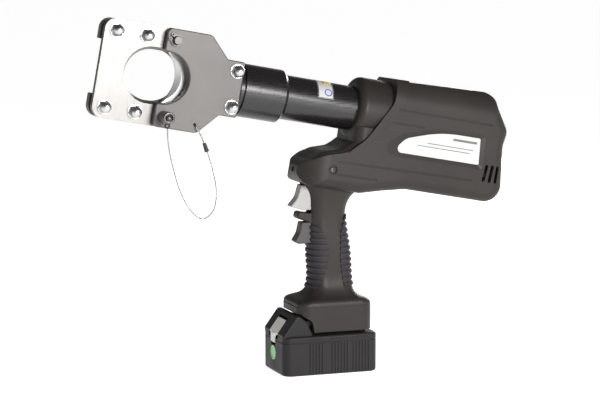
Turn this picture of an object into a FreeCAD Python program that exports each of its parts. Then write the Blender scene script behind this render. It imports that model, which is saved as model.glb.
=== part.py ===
import FreeCAD, Part
import math
import os

# Battery hydraulic cable cutter, millimetres. +Z is up and -X points at the cutting head.
# The origin is the middle of the face that the battery stands on.
# Head, tube and upper housing are drawn along the barrel axis (u along it to the rear,
# w above it) and then tilted into place.

V = FreeCAD.Vector

# ---- driving dimensions ----
TILT = 10.4  # barrel axis above the horizontal
AXIS_X = -205.0  # where u is 0
AXIS_Z = 342.0
THROAT_R = 28.0  # half of the 56 mm cable opening
THROAT_U = 2.6
HEAD_LEFT = -56.5
HEAD_H = 54.4  # half height of the head plates
FIXED_T = 8.5  # fixed blade
GAP_T = 8.5  # guide space for the moving blade
BACK_T = 11.5  # back arms
YOKE_T = 12.0
YOKE_GAP = 29.0
PIN_U = 21.0
PIN_W = 42.0
PIN_R = 5.0
STROKE = 62.0
ROD_R = 10.0
COLLAR_R = 29.8
COLLAR_U0 = 108.0
COLLAR_U1 = 160.0
TUBE_R = 25.0
BORE_R = 20.0
TUBE_U0 = 113.0
TUBE_U1 = 262.0
RIM_R = 37.0
WALL = 3.0
BODY_HALF = 37.0
MOTOR_W = -42.0  # motor axis below the barrel axis
MODULE = 0.8
SUN_T = 12
PLANET_T = 18
RING_T = 48
BATTERY_L = 113.0
BATTERY_W = 75.0
CLEAR = 0.3
WIRE_R = 0.75
WIRE_ROUTE = [
    (-193.3, -45.9, 284.9),
    (-192.6, -44.6, 268.0),
    (-185.4, -39.0, 241.0),
    (-175.6, -34.0, 212.5),
    (-162.8, -31.5, 191.0),
    (-149.0, -31.0, 181.0),
    (-135.8, -31.0, 191.5),
    (-132.8, -31.0, 213.0),
    (-137.4, -31.0, 236.5),
    (-143.4, -31.0, 256.0),
    (-148.6, -31.0, 270.0),
    (-153.1, -31.0, 279.4),
    (-156.4, -31.0, 285.6),
    (-156.8, -26.0, 287.2),
]

PLACE = FreeCAD.Placement(V(AXIS_X, 0, AXIS_Z), FreeCAD.Rotation(V(0, 1, 0), TILT))


# ---- small helpers ----
def tilted(shape):
    """Moves a shape from the barrel frame into place."""
    moved = shape.copy()
    moved.Placement = PLACE.multiply(moved.Placement)
    return moved


def box(x0, x1, y0, y1, z0, z1):
    return Part.makeBox(x1 - x0, y1 - y0, z1 - z0, V(x0, y0, z0))


def cyl_u(r, u0, u1, y=0.0, w=0.0):
    return Part.makeCylinder(r, u1 - u0, V(u0, y, w), V(1, 0, 0))


def cyl_y(r, y0, y1, u, w):
    return Part.makeCylinder(r, y1 - y0, V(u, y0, w), V(0, 1, 0))


def cyl_z(r, z0, z1, x, y):
    return Part.makeCylinder(r, z1 - z0, V(x, y, z0), V(0, 0, 1))


def fuse(shapes):
    whole = shapes[0]
    if len(shapes) > 1:
        whole = whole.multiFuse(shapes[1:])
    return whole.removeSplitter()


def cut(shape, tools):
    return shape.cut(Part.makeCompound(tools)) if len(tools) == 1 else shape.cut(tools)


def group(shapes):
    return Part.makeCompound(shapes)


def inset(points, d):
    """The rounded polygon again, moved inward by d (points run anticlockwise)."""
    n = len(points)
    moved = []
    for i in range(n):
        a, b, c = points[i - 1], points[i], points[(i + 1) % n]
        e = (b[0] - a[0], b[1] - a[1])
        f = (c[0] - b[0], c[1] - b[1])
        el, fl = math.hypot(*e), math.hypot(*f)
        ne = (-e[1] / el, e[0] / el)
        nf = (-f[1] / fl, f[0] / fl)
        k = d / (1.0 + ne[0] * nf[0] + ne[1] * nf[1])
        turn = e[0] * f[1] - e[1] * f[0]
        r = max(0.0, b[2] - d) if turn > 0 else b[2] + (d if b[2] > 0 else 0.0)
        moved.append((b[0] + (ne[0] + nf[0]) * k, b[1] + (ne[1] + nf[1]) * k, r))
    return moved


def face(points, to3):
    """A flat face from (a, b, corner radius) points; to3 turns a and b into a 3D point."""
    n = len(points)
    ends = []
    for i in range(n):
        a, b, c = points[i - 1], points[i], points[(i + 1) % n]
        r = b[2]
        if r <= 0:
            ends.append((b, b, b))
            continue
        e = (a[0] - b[0], a[1] - b[1])
        f = (c[0] - b[0], c[1] - b[1])
        el, fl = math.hypot(*e), math.hypot(*f)
        e, f = (e[0] / el, e[1] / el), (f[0] / fl, f[1] / fl)
        half = math.acos(max(-1.0, min(1.0, e[0] * f[0] + e[1] * f[1]))) / 2.0
        t = r / math.tan(half)
        g = (e[0] + f[0], e[1] + f[1])
        gl = math.hypot(*g)
        far = r / math.sin(half) - r
        first = (b[0] + e[0] * t, b[1] + e[1] * t)
        last = (b[0] + f[0] * t, b[1] + f[1] * t)
        mid = (b[0] + g[0] / gl * far, b[1] + g[1] / gl * far)
        ends.append((first, mid, last))
    edges = []
    for i in range(n):
        first, mid, last = ends[i]
        after = ends[(i + 1) % n][0]
        if points[i][2] > 0:
            edges.append(Part.Arc(to3(*first[:2]), to3(*mid[:2]), to3(*last[:2])).toShape())
        p, q = to3(*last[:2]), to3(*after[:2])
        if p.distanceToPoint(q) > 1e-6:
            edges.append(Part.makeLine(p, q))
    return Part.Face(Part.Wire(edges))


def side(points, y0, y1):
    """A plate whose outline is seen from the side, from y0 to y1."""
    return face(points, lambda a, b: V(a, y0, b)).extrude(V(0, y1 - y0, 0))


def plan(points, z0, z1):
    return face(points, lambda a, b: V(a, b, z0)).extrude(V(0, 0, z1 - z0))


def section(points, u0, u1):
    return face(points, lambda a, b: V(u0, a, b)).extrude(V(u1 - u0, 0, 0))


def mirror_w(points):
    """A closed outline from its lower half, given from rear to front."""
    upper = [(a, -b, r) for a, b, r in reversed(points)]
    return points + upper


def rounded(shape, r, pick):
    """Fillets the edges that pick(edge) chooses."""
    edges = [e for e in shape.Edges if pick(e)]
    return shape.makeFillet(r, edges)


def hexagon(af, u, y0, y1, w, turn=0.0):
    r = af / math.sqrt(3.0)
    pts = [(u + r * math.cos(math.radians(turn + 60 * i)),
            w + r * math.sin(math.radians(turn + 60 * i)), 0) for i in range(6)]
    return side(pts, y0, y1)


def save(name, shape):
    shape.exportStep("parts/" + name + ".step")


os.makedirs("parts", exist_ok=True)

# ================= cutting head =================
FIXED_Y0 = -(FIXED_T + GAP_T + BACK_T) / 2.0
GAP_Y0 = FIXED_Y0 + FIXED_T
BACK_Y0 = GAP_Y0 + GAP_T
BACK_Y1 = BACK_Y0 + BACK_T
YOKE_IN = YOKE_GAP / 2.0
YOKE_OUT = YOKE_IN + YOKE_T
TAB_U = 34.0
BOLTS = [(-43.0, PIN_W), (-8.7, PIN_W), (-43.0, -PIN_W), (-8.7, -PIN_W)]
PINS = [(PIN_U, PIN_W), (PIN_U, -PIN_W)]


def drill(shape, centres, r, y0=-60.0, y1=60.0):
    return cut(shape, [cyl_y(r, y0, y1, u, w) for u, w in centres])


# fixed blade: a plate with a round-ended opening, sharpened from the front
outline = [(HEAD_LEFT, -HEAD_H, 12.0), (TAB_U, -HEAD_H, 3.0), (TAB_U, -THROAT_R, 0.0),
           (THROAT_U, -THROAT_R, 0.0), (THROAT_U, THROAT_R, 0.0), (TAB_U, THROAT_R, 0.0),
           (TAB_U, HEAD_H, 3.0), (HEAD_LEFT, HEAD_H, 12.0)]
fixed = side(outline, FIXED_Y0, GAP_Y0)
fixed = fixed.cut(cyl_y(THROAT_R, -60, 60, THROAT_U, 0))
bevel = Part.makeCone(THROAT_R + 3.2, THROAT_R, FIXED_T - 1.5, V(THROAT_U, FIXED_Y0, 0), V(0, 1, 0))
fixed = fixed.cut(bevel.common(box(-60, THROAT_U, -60, 60, -60, 60)))
BEVEL_END = FIXED_Y0 + FIXED_T - 1.5
for s in (-1, 1):
    wedge = section([(FIXED_Y0 - 1, s * 20, 0), (BEVEL_END, s * 20, 0), (BEVEL_END, s * THROAT_R, 0),
                     (FIXED_Y0, s * (THROAT_R + 3.2), 0), (FIXED_Y0 - 1, s * (THROAT_R + 3.2), 0)],
                    THROAT_U, TAB_U + 1)
    fixed = fixed.cut(wedge)
fixed = drill(fixed, BOLTS, 4.1)
fixed = drill(fixed, PINS, PIN_R + 0.05)
save("fixed_blade", tilted(fixed))

# guide rails: the two spacers that the moving blade runs between
rail = side([(HEAD_LEFT + 5, 33.4, 0.8), (TAB_U, 33.4, 0.8), (TAB_U, HEAD_H - 1.5, 3.0),
             (HEAD_LEFT + 5, HEAD_H - 1.5, 8.0)], GAP_Y0, BACK_Y0)
rail = drill(drill(rail, BOLTS[:2], 4.1), PINS[:1], PIN_R + 0.05)
save("guide_rails", tilted(group([rail, rail.mirror(V(0, 0, 0), V(0, 0, 1))])))

# back arms: the rear half of the frame, one above the opening and one below
arm = side([(HEAD_LEFT, THROAT_R + 2, 1.0), (TAB_U, THROAT_R + 2, 1.0), (TAB_U, HEAD_H, 3.0),
            (HEAD_LEFT, HEAD_H, 12.0)], BACK_Y0, BACK_Y1)
arm = drill(drill(arm, BOLTS[:2], 4.1), PINS[:1], PIN_R + 0.05)
save("back_arms", tilted(group([arm, arm.mirror(V(0, 0, 0), V(0, 0, 1))])))


def frame_bolt(u, w, r, y_head, y_end, af, head):
    """A hex bolt along y with its head behind, and its shank to y_end."""
    shank = cyl_y(r, y_end, y_head, u, w)
    cap = hexagon(af, u, y_head, y_head + head, w, 15.0)
    trim = Part.makeCone(af * 0.62, af * 0.5, head, V(u, y_head, w), V(0, 1, 0))
    return shank.fuse(cap.common(trim))


def dome_nut(u, w, y, af, r, tall):
    """A dome nut standing on the plate face at y, its dome towards -y, with a washer."""
    washer = cyl_y(af * 0.62, y - 1.2, y, u, w)
    hexa = hexagon(af, u, y - 1.2 - tall * 0.45, y - 1.2, w, 15.0)
    trim = Part.makeCone(af * 0.47, af * 0.66, tall * 0.45, V(u, y - 1.2 - tall * 0.45, w), V(0, 1, 0))
    dome_r = af * 0.47
    neck = y - 1.2 - tall * 0.5
    dome = Part.makeSphere(dome_r, V(u, neck, w)).common(cyl_y(dome_r + 1, neck - dome_r, neck, u, w))
    neck_c = cyl_y(dome_r, neck, y - 1.2 - tall * 0.4, u, w)
    nut = fuse([washer, hexa.common(trim), dome, neck_c])
    return nut.cut(cyl_y(r, y - 1.2 - tall * 0.6, y + 1, u, w))


save("frame_bolts", tilted(group([frame_bolt(u, w, 3.9, BACK_Y1, FIXED_Y0 - 6.0, 13.0, 5.3)
                                  for u, w in BOLTS])))
save("frame_nuts", tilted(group([dome_nut(u, w, FIXED_Y0, 13.0, 4.0, 12.0) for u, w in BOLTS])))

# yoke plates
LOWER = [(103.5, -31.0, 2.5), (83.2, -31.0, 2.0), (61.0, -HEAD_H, 9.0), (10.6, -HEAD_H, 6.0),
         (10.6, -28.7, 2.5), (14.8, -28.7, 0.0)]
YOKE_BOLTS = [(95.6, 20.0), (95.6, -20.0)]
yoke = side(mirror_w(LOWER)[::-1], YOKE_IN, YOKE_OUT)
yoke = yoke.cut(cyl_y(28.7, -60, 60, 14.8, 0))
yoke = drill(drill(yoke, YOKE_BOLTS, 4.1), PINS, PIN_R + 0.05)
outer = [e for e in yoke.Edges
         if abs(e.BoundBox.YMin - YOKE_OUT) < 1e-4 and abs(e.BoundBox.YMax - YOKE_OUT) < 1e-4
         and not (e.Curve.TypeId == "Part::GeomCircle" and e.Curve.Radius < 8.5
                  and abs(e.Length - 2 * math.pi * e.Curve.Radius) < 0.1)]
yoke = yoke.makeChamfer(1.0, outer)
left = yoke.mirror(V(0, 0, 0), V(0, 1, 0))
left = left.cut(cyl_y(1.6, -60, 0, 57.3, -45.2))
save("yoke_plate_right", tilted(yoke))
save("yoke_plate_left", tilted(left))
save("yoke_bolts", tilted(group([frame_bolt(u, w, 3.9, YOKE_OUT, -YOKE_OUT - 6.0, 13.0, 5.3)
                                 for u, w in YOKE_BOLTS])))
save("yoke_nuts", tilted(group([dome_nut(u, w, -YOKE_OUT, 13.0, 4.0, 12.0) for u, w in YOKE_BOLTS])))

# hinge pin with a circlip at each end
hinge = fuse([cyl_y(PIN_R - 0.02, -YOKE_OUT - 6.5, YOKE_OUT + 5.0, PIN_U, PIN_W),
              Part.makeSphere(PIN_R - 0.02, V(PIN_U, -YOKE_OUT - 6.5, PIN_W)).common(
                  cyl_y(PIN_R, -YOKE_OUT - 9.0, -YOKE_OUT - 6.5, PIN_U, PIN_W))])
groove = cyl_y(8, -YOKE_OUT - 3.3, -YOKE_OUT - 1.2, PIN_U, PIN_W).cut(
    cyl_y(4.2, -YOKE_OUT - 4, -YOKE_OUT, PIN_U, PIN_W))
groove_far = cyl_y(8, YOKE_OUT + 1.2, YOKE_OUT + 3.3, PIN_U, PIN_W).cut(
    cyl_y(4.2, YOKE_OUT, YOKE_OUT + 4, PIN_U, PIN_W))
hinge = hinge.cut(groove).cut(groove_far)
save("hinge_pin", tilted(hinge))


def circlip(y0):
    ring = cyl_y(6.8, y0, y0 + 1.6, PIN_U, PIN_W).cut(cyl_y(4.3, y0 - 1, y0 + 3, PIN_U, PIN_W))
    gap = box(PIN_U - 10, PIN_U, y0 - 1, y0 + 3, PIN_W - 1.0, PIN_W + 1.0)
    lugs = [cyl_y(1.9, y0, y0 + 1.6, PIN_U - 7.2, PIN_W + s * 2.8).cut(
        cyl_y(0.8, y0 - 1, y0 + 3, PIN_U - 7.2, PIN_W + s * 2.8)) for s in (-1, 1)]
    clip = fuse([ring.cut(gap)] + lugs)
    clip.rotate(V(PIN_U, 0, PIN_W), V(0, 1, 0), 25)
    return clip


save("hinge_circlips", tilted(group([circlip(-YOKE_OUT - 3.0), circlip(YOKE_OUT + 1.4)])))

# lock pin: knob outside the left yoke plate, a bore for the push button's stem
KNOB_Y = -YOKE_OUT - 23.0
lock = fuse([cyl_y(PIN_R - 0.03, -YOKE_OUT - 1.0, YOKE_OUT + 6.0, PIN_U, -PIN_W),
             cyl_y(6.6, KNOB_Y, -YOKE_OUT - CLEAR, PIN_U, -PIN_W)])
lock = rounded(lock, 1.2, lambda e: abs(e.BoundBox.YMin - KNOB_Y) < 1e-4 and e.BoundBox.YLength < 1e-4)
lock = rounded(lock, 1.5, lambda e: abs(e.BoundBox.YMax - YOKE_OUT - 6.0) < 1e-4 and e.BoundBox.YLength < 1e-4)
lock = lock.cut(cyl_y(4.6, KNOB_Y - 1, KNOB_Y + 4.0, PIN_U, -PIN_W))
lock = lock.cut(cyl_y(2.05, KNOB_Y, YOKE_OUT + 1.0, PIN_U, -PIN_W))
ball_y = YOKE_OUT + 2.6
lock = lock.fuse([Part.makeSphere(1.4, V(PIN_U + s * (PIN_R - 1.45), ball_y, -PIN_W)) for s in (-1, 1)])
lock = lock.cut(cyl_y(2.05, KNOB_Y, YOKE_OUT + 4.0, PIN_U, -PIN_W))
save("lock_pin", tilted(lock))
button = fuse([cyl_y(2.0, KNOB_Y + 3.0, YOKE_OUT + 1.0, PIN_U, -PIN_W),
               Part.makeSphere(3.6, V(PIN_U, KNOB_Y + 3.0, -PIN_W)).common(
                   cyl_y(3.4, KNOB_Y - 0.4, KNOB_Y + 2.0, PIN_U, -PIN_W))])
save("pin_button", tilted(button))
EYE_Y = KNOB_Y + 3.6
eye = Part.makeTorus(2.3, 1.0, V(PIN_U, EYE_Y, -PIN_W - 8.6), V(0, 1, 0))
eye = fuse([eye, cyl_y(6.2, EYE_Y - 1.0, EYE_Y + 1.0, PIN_U, -PIN_W).cut(
    cyl_y(5.2, EYE_Y - 2, EYE_Y + 2, PIN_U, -PIN_W))])
eye = eye.cut(cyl_y(6.6, EYE_Y - 3, EYE_Y + 3, PIN_U, -PIN_W))
save("lanyard_eye", tilted(eye))


# lanyard wire: from the eye on the lock pin down in a loop and up to the left yoke plate
def cord(name, points, r):
    """A round tube of straight runs joined by tangent arcs; it prints the arcs' radii."""
    points = [V(*p) for p in points]
    edges = []
    radii = []
    at = points[0]
    for before, corner, after in zip(points, points[1:], points[2:]):
        turn = (corner - before).getAngle(after - corner)
        reach = 0.45 * min(corner.distanceToPoint(before), corner.distanceToPoint(after))
        radius = reach / math.tan(turn / 2.0)
        to_before = (before - corner).normalize()
        to_after = (after - corner).normalize()
        inward = (to_before + to_after).normalize()
        start = corner + to_before * reach
        end = corner + to_after * reach
        middle = corner + inward * (radius / math.cos(turn / 2.0) - radius)
        edges.append(Part.LineSegment(at, start).toShape())
        edges.append(Part.Arc(start, middle, end).toShape())
        radii.append(round(radius, 1))
        at = end
    edges.append(Part.LineSegment(at, points[-1]).toShape())
    spine = Part.Wire(edges)
    ring = Part.Wire([Part.Circle(points[0], points[1] - points[0], r).toShape()])
    tube = spine.makePipeShell([ring], True, False)
    print(name, "radii", radii, "volume ratio", round(tube.Volume / (math.pi * r * r * spine.Length), 3))
    print(name, "length", round(spine.Length, 1))
    return tube


wire = cord("lanyard wire", WIRE_ROUTE, WIRE_R)
save("lanyard_wire", wire)
wide_end, narrow_end = V(-144.2, -31.0, 257.6), V(-147.4, -31.0, 266.8)
ferrule = Part.makeCone(2.6, 1.9, wide_end.distanceToPoint(narrow_end), wide_end, narrow_end - wide_end)
save("lanyard_ferrule", ferrule.cut(wire))

# ================= ram =================
EDGE_R = 41.0
EDGE_U = 33.4
BLADE_T = 8.2
BLADE_Y0 = GAP_Y0 + (GAP_T - BLADE_T) / 2.0
BLADE_Y1 = BLADE_Y0 + BLADE_T
blade = side([(10, -33.1, 0), (50, -33.1, 4.0), (50, -13.0, 3.0), (63, -13.0, 1.0), (63, 13.0, 1.0),
              (50, 13.0, 3.0), (50, 33.1, 4.0), (10, 33.1, 0)], BLADE_Y0, BLADE_Y1)
edge_c = EDGE_U - EDGE_R
blade = blade.cut(cyl_y(EDGE_R, -60, 60, edge_c, 0))
mid_y = (BLADE_Y0 + BLADE_Y1) / 2.0
cone_r = 27.6
cone_c = EDGE_U + 6.2 - cone_r
for s in (-1, 1):
    deep = cone_r
    shallow = cone_r - 7.4
    cone = Part.makeCone(shallow, deep, BLADE_T / 2.0, V(cone_c, mid_y, 0), V(0, s, 0))
    blade = blade.cut(cone)
HOLDER_PINS = [(56.5, 8.0), (56.5, -8.0)]
blade = drill(blade, HOLDER_PINS, 3.0)
save("moving_blade", tilted(blade))
holder = side([(48.0, -17.0, 2.0), (66.0, -17.0, 2.0), (66.0, 17.0, 2.0), (48.0, 17.0, 2.0)], -12.5, 12.5)
holder = holder.cut(box(47, 63.2, BLADE_Y0 - 0.05, BLADE_Y1 + 0.05, -13.2, 13.2))
holder = holder.cut(box(47, 53.3, BLADE_Y0 - 0.05, BLADE_Y1 + 0.05, -20, 20))
holder = drill(holder, HOLDER_PINS, 3.0)
holder = holder.cut(cyl_u(6.0, 63.2, 70))
save("blade_holder", tilted(holder))
screws = []
for u, w in HOLDER_PINS:
    pin = cyl_y(2.98, -12.4, 12.4, u, w)
    screws.append(pin.cut(hexagon(3.0, u, -12.5, -10.0, w)))
save("blade_screws", tilted(group(screws)))
PISTON_U0 = 232.0
PISTON_U1 = 249.0
rod = fuse([cyl_u(ROD_R, 66.0, PISTON_U0 - 0.2), cyl_u(5.95, 63.4, 67), cyl_u(7.0, PISTON_U0 - 1, PISTON_U1 - 2)])
save("ram_rod", tilted(rod))
piston = cyl_u(BORE_R - 0.05, PISTON_U0, PISTON_U1).cut(cyl_u(7.0, 200, 300))
for u in (236.0, 243.0):
    piston = piston.cut(cyl_u(30, u, u + 2.6).cut(cyl_u(BORE_R - 2.2, u - 1, u + 4)))
save("piston", tilted(piston))

# return spring round the rod, between the gland and the piston
SPRING_U0 = 133.4
SPRING_U1 = 231.6


def spring(u0, u1, r, wire_r, turns):
    height = u1 - u0 - 2 * wire_r
    helix = Part.makeHelix(height / turns, height, r)
    ring = Part.Wire([Part.Circle(V(r, 0, 0), V(0, 1, 0), wire_r).toShape()])
    coil = Part.Wire(helix.Edges).makePipeShell([ring], True, True)
    coil.rotate(V(0, 0, 0), V(0, 1, 0), 90)
    coil.translate(V(u0 + wire_r, 0, 0))
    return coil


save("return_spring", tilted(spring(SPRING_U0, SPRING_U1, 15.0, 1.6, 9.0)))

# ================= barrel =================
SNAP_U = 140.0
tongue = side([(68, -22, 2.0), (84, -30.6, 4.0), (104.5, -30.6, 1.0), (104.5, 30.6, 1.0),
               (84, 30.6, 4.0), (68, 22, 2.0)], -YOKE_IN, YOKE_IN)
sleeve = cyl_u(COLLAR_R, COLLAR_U0, COLLAR_U1)
sleeve = sleeve.makeChamfer(4.2, [e for e in sleeve.Edges if abs(e.BoundBox.XMin - COLLAR_U1) < 1e-4
                                  and e.BoundBox.XLength < 1e-4])
sleeve = rounded(sleeve, 1.2, lambda e: abs(e.BoundBox.XMin - COLLAR_U0) < 1e-4 and e.BoundBox.XLength < 1e-4)
collar = fuse([tongue, cyl_u(27.0, 103.8, COLLAR_U0 + 2), sleeve])
collar = collar.cut(cyl_u(TUBE_R + 0.05, TUBE_U0 - 0.4, COLLAR_U1 + 5))
collar = collar.cut(cyl_u(ROD_R + 0.4, 60, 120))
collar = collar.cut(cyl_u(26.5, SNAP_U - 0.4, SNAP_U + 2.8))
collar = drill(collar, YOKE_BOLTS, 4.1)
save("swivel_collar", tilted(collar))
snap = cyl_u(26.1, SNAP_U, SNAP_U + 2.0).cut(cyl_u(24.1, SNAP_U - 1, SNAP_U + 4))
save("collar_ring", tilted(snap.cut(box(SNAP_U - 1, SNAP_U + 4, -2, 2, 20, 30))))
tube = cyl_u(TUBE_R, TUBE_U0, TUBE_U1).cut(cyl_u(BORE_R, TUBE_U0 - 1, TUBE_U1 + 1))
tube = tube.cut(cyl_u(30, SNAP_U - 0.1, SNAP_U + 2.1).cut(cyl_u(24.0, SNAP_U - 1, SNAP_U + 4)))
save("cylinder_tube", tilted(tube))
gland = cyl_u(BORE_R - 0.02, TUBE_U0 + 0.5, SPRING_U0 - 0.2).cut(cyl_u(ROD_R + 0.04, 100, 140))
gland = gland.cut(cyl_u(12.0, 122.0, 125.0).cut(cyl_u(1.0, 120, 126)))
save("cylinder_gland", tilted(gland))

# ================= housing =================
SHELL = [(188.5, -92.5, 14), (262, -92.5, 20), (288, -86, 30), (316, -80.2, 40), (437, -80.4, 20),
         (427.5, -14, 30), (430.5, 4, 14), (404, 44.6, 14), (188.5, 35.2, 20)]
RIDGE = [(170, -120, 0), (470, -120, 0), (470, 60, 0), (284, 60, 0), (284, 42.4, 5), (281, 14, 22),
         (256, -30, 60), (238, -48, 35), (210, -56, 45), (190, -69, 18), (184, -84, 0),
         (170, -84, 0)]
LIP = [(284, 60, 0), (284, 42.4, 5), (281, 14, 22), (256, -30, 60), (236, -49, 0), (266, -30, 50),
       (294, 14, 24), (300, 42.4, 5), (300, 60, 0)]
LIP_T = 1.8  # the raised lip along the ridge
CHIN = [(192.5, -91, 11.5), (262, -91, 0), (290, -60, 0), (290, -18, 0), (244.6, -18, 0),
        (244.8, -36, 1.5), (232, -46, 14), (212, -52, 25), (199.5, -62, 22), (192.5, -77, 10)]
SHELL_HALF = 38.5
CHIN_HALF = 35.5
RIM_U0 = 244.0
GRIP = [(222, -25, 60, 27, 20), (206, -17.5, 43, 22.5, 18), (192, -15.5, 30, 19.5, 16),
        (177, -15.5, 27.2, 18, 15), (153, -15, 30.1, 18, 15), (128, -14.4, 33.1, 18.3, 15),
        (104, -13.6, 34.5, 19, 15), (95, -15.5, 36, 21.5, 16), (86, -25, 43, 28, 16),
        (76, -36.5, 51.8, 34, 14)]
FOOT = [(-37.5, -34.5, 16), (52.8, -34.5, 16), (52.8, 34.5, 16), (-37.5, 34.5, 16)]
S_CURVE = [(-70, 30, 0), (-16.5, 30, 0), (-22.0, 61.0, 6.0), (-36.0, 69.5, 10.0), (-70, 69.5, 0)]
CHANNEL_END = 49.8


def shell_solid(d):
    """The rear part of the upper housing before its front is shaped, d inside its outer face."""
    h = SHELL_HALF - d
    tall = section([(-h, -110, 0), (h, -110, 0), (h, 46 - d, 32 - d), (-h, 46 - d, 32 - d)], 170, 460)
    deep = plan([(188.3 + d, -h, 30 - d), (437.3 - d, -h, 18 - d), (437.3 - d, h, 18 - d),
                 (188.3 + d, h, 30 - d)], -110, 60)
    body = rounded(side(inset(SHELL, d), -h, h), 12.0 - d, lambda e: e.BoundBox.YLength < 0.1)
    return body.common(tall).common(deep)


def shell_body(d):
    return shell_solid(d).common(side(inset(RIDGE, d), -60, 60))


def chin_body(d):
    """The front below the tube, down to the nose."""
    h = CHIN_HALF - d
    deep = plan([(190.5 + d, -h, 30 - d), (300, -h, 0), (300, h, 0), (190.5 + d, h, 30 - d)], -110, 60)
    body = side(inset(CHIN, d), -h, h)
    body = rounded(body, 11.0 - d, lambda e: e.BoundBox.YLength < 0.1 and e.BoundBox.ZMax < -36.5
                   and e.BoundBox.XMax < 250)
    return body.common(deep)


def rim_body(d):
    """The round neck that the tube goes into."""
    body = cyl_u(RIM_R - d, RIM_U0 + 2.5 * d, 300)
    if d > 0:
        return body
    return rounded(body, 8.5, lambda e: e.BoundBox.XMax < RIM_U0 + 0.001)


def grip_body(d):
    """The handle, as a loft through rounded sections, d inside its outer face."""
    wires = []
    for z, x0, x1, hy, r in GRIP:
        f = face([(x0 + d, -hy + d, r - d), (x1 - d, -hy + d, r - d), (x1 - d, hy - d, r - d),
                  (x0 + d, hy - d, r - d)], lambda a, b: V(a, b, z))
        wires.append(f.OuterWire)
    return Part.makeLoft(wires, True, False)


grip = grip_body(0)
foot = plan(FOOT, 48.5, 76.5).cut(side(S_CURVE, -60, 60))
spur = side([(-31.2, 175.4, 3.2), (-20, 171.6, 14), (-5, 163.0, 0), (-5, 186, 0), (-15, 181.6, 10),
             (-29.4, 183.2, 3.0)], -9, 9)
spur = rounded(spur, 2.6, lambda e: e.BoundBox.YLength < 0.01 and e.BoundBox.XMax < -6)
# the upper housing as a skin, with its grooves, recess, vents and screw seats
LENS_Z = 231.5
SCREW_LEFT = (221.8, -70.3)
SCREWS_RIGHT = [(412.0, -67.0), (402.0, 26.0), (306.0, 30.0), (262.0, -82.0)]
GROOVES = [(225.9, -60.5, 391.6, -58.0), (225.4, -74.7, 276.0, -74.7), (288.0, 8.0, 405.4, 8.0),
           (284.0, -7.4, 322.3, -7.4)]
LEAF = [(295, -39.5, 5), (397.5, -39.2, 1.5), (394.5, -9.2, 1.5), (345, -9.2, 150), (303, -22.5, 20),
        (295, -32, 6)]
DISH = [(279, -46, 9), (404, -45.5, 4), (402, -3.5, 4), (345, -3, 150), (296, -16.5, 20), (279, -28, 10)]
DISH_DEEP = 1.6
VENTS = [(406.3, 408.0), (413.9, 415.1), (421.6, 421.6)]


def dish(s):
    """The dished recess round the name plate, on side s."""
    wires = [face(points, lambda a, b: V(a, s * y, b)).OuterWire
             for points, y in ((DISH, SHELL_HALF + 0.4), (LEAF, SHELL_HALF - DISH_DEEP))]
    return Part.makeLoft(wires, True, True)


lip = shell_solid(-LIP_T).common(side(LIP, -60, 60)).cut(cyl_u(20.0, 200, 320))
upper_full = shell_body(0).fuse([chin_body(0), rim_body(0), lip])
hollow = shell_body(WALL).fuse([chin_body(WALL), rim_body(3.5)])
bosses = [cyl_y(4.6, -35.8, 35.8, u, w) for u, w in [SCREW_LEFT] + SCREWS_RIGHT]
hollow_cut = hollow
for b in bosses:
    hollow_cut = hollow_cut.cut(b)
upper = upper_full.cut(hollow_cut)
tools = [cyl_u(TUBE_R + 0.05, 230, TUBE_U1 + 1)]
for low, high in VENTS:
    for y0, y1 in ((-45, -30), (30, 45)):
        tools.append(side([(low - 1.8, -57.5, 1.6), (low + 1.8, -57.5, 1.6), (high + 1.8, -37.5, 1.6),
                           (high - 1.8, -37.5, 1.6)], y0, y1))
for s in (-1, 1):
    y0, y1 = sorted((s * (SHELL_HALF - 1.0), s * (SHELL_HALF + 2)))
    for u0, w0, u1, w1 in GROOVES:
        tools.append(side([(u0, w0 - 0.9, 0), (u1, w1 - 0.9, 0), (u1, w1 + 0.9, 0), (u0, w0 + 0.9, 0)], y0, y1))
    tools.append(dish(s))
tools += [cyl_y(1.6, -50, 50, *SCREW_LEFT), cyl_y(5.2, -50, -36.6, *SCREW_LEFT)]
for u, w in SCREWS_RIGHT:
    tools += [cyl_y(1.6, -30, 50, u, w), cyl_y(4.6, 32.0, 50, u, w)]
for tool in tools:
    upper = upper.cut(tool)

# the grip and foot join it from below
hollow = tilted(hollow)
core = grip_body(WALL).common(box(-60, 80, -40, 40, 74.5, 230))
lower = grip.fuse([foot, spur]).cut(hollow)
RAIL_TOP = 61.6


def slot(x0, x1, half, r, z0, z1):
    """A block centred on y whose two rear corners are rounded."""
    return plan([(x0, -half, 0), (x1, -half, r), (x1, half, r), (x0, half, 0)], z0, z1)


tools = [core, slot(-60, CHANNEL_END, 22.3, 4, 40, 56.0), slot(-60, CHANNEL_END, 27.5, 9, 55.3, RAIL_TOP),
         slot(-28, CHANNEL_END, 31.5, 13, 62.5, 74.6), slot(-18.6, CHANNEL_END, 31.5, 13, 55.3, 64.0),
         box(-24.0, 0, -8.3, 8.3, 181.0, 216.0), box(-24.0, 0, -8.3, 8.3, 145.6, 171.2)]
for tool in tools:
    lower = lower.cut(tool)
upper = tilted(upper)
for tool in (core, box(-24.0, 0, -8.3, 8.3, 181.0, 214.0), Part.makeCylinder(3.5, 20, V(-45, 0, LENS_Z), V(1, 0, 0))):
    upper = upper.cut(tool)
skin = upper.fuse(lower)
LEFT_SIDE = box(-100, 300, -60, 0, 0, 400)
RIGHT_SIDE = box(-100, 300, 0, 60, 0, 400)
for name, half in (("housing_left", LEFT_SIDE), ("housing_right", RIGHT_SIDE)):
    piece = skin.common(half)
    save(name, max(piece.Solids, key=lambda p: p.Volume))


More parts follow.
